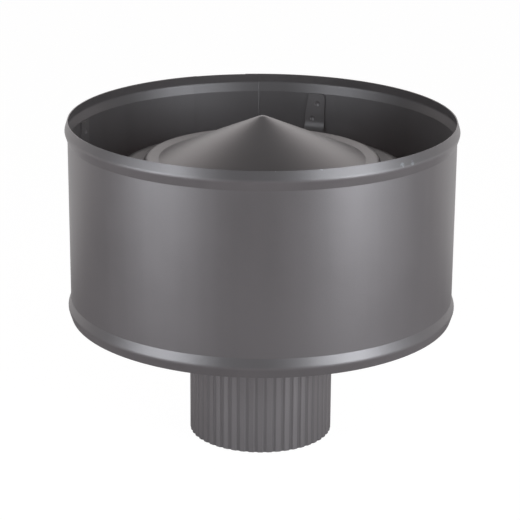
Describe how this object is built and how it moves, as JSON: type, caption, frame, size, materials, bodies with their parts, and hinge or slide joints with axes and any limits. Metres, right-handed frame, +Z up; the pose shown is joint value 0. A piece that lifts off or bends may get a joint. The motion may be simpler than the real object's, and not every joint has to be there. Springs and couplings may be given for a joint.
{
  "type": "flue rain cap",
  "caption": "Round flue rain cap: a beaded wind band, a low rain cone and a baffle ring held by straps above a crimped spigot that fits inside a flue pipe.",
  "frame": {"origin": "centre of the spigot's lower rim", "axes": "+Z up along the flue's axis, towards the cone's tip; -Y is the front in the picture; +X is to the right"},
  "size_m": [0.4015, 0.4016, 0.3397],
  "materials": {
    "spigot_paint": "semi-matt charcoal paint",
    "band_paint": "semi-matt charcoal paint",
    "cone_paint": "semi-matt charcoal paint",
    "ring_paint": "semi-matt charcoal paint",
    "strap_paint": "semi-matt charcoal paint",
    "leg_paint": "semi-matt charcoal paint",
    "rivet_paint": "semi-matt charcoal paint"
  },
  "bodies": {
    "root": {"flue_spigot": "spigot_paint", "wind_band": "band_paint", "rain_cone": "cone_paint", "baffle_ring": "ring_paint", "band_bracket_rear": "strap_paint", "band_bracket_left": "strap_paint", "band_bracket_front": "strap_paint", "band_bracket_right": "strap_paint", "cone_leg_rear_left": "leg_paint", "cone_leg_front_left": "leg_paint", "cone_leg_front_right": "leg_paint", "cone_leg_rear_right": "leg_paint", "bracket_rivets": "rivet_paint", "leg_rivets": "rivet_paint", "baffle_rivets": "rivet_paint"}
  },
  "joints": []
}
